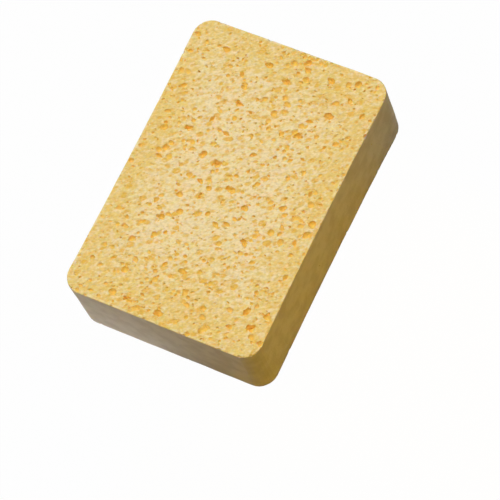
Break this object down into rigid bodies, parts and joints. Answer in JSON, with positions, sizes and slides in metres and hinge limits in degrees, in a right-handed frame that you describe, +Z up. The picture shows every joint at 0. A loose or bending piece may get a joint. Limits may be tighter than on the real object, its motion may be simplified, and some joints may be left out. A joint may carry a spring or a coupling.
{
  "type": "wallpaper sponge",
  "caption": "Rectangular cellulose foam block with rounded corners and open pores on both large faces, for wiping paste and water off wallpaper.",
  "frame": {"origin": "middle of the underside", "axes": "+X along the block, +Y across it, +Z up out of the upper cut face"},
  "size_m": [0.152, 0.1036, 0.04],
  "materials": {
    "cellulose": "dry, matt, open-celled foam with a paler closed skin on the sides"
  },
  "bodies": {
    "root": {"sponge_block": "cellulose"}
  },
  "joints": []
}
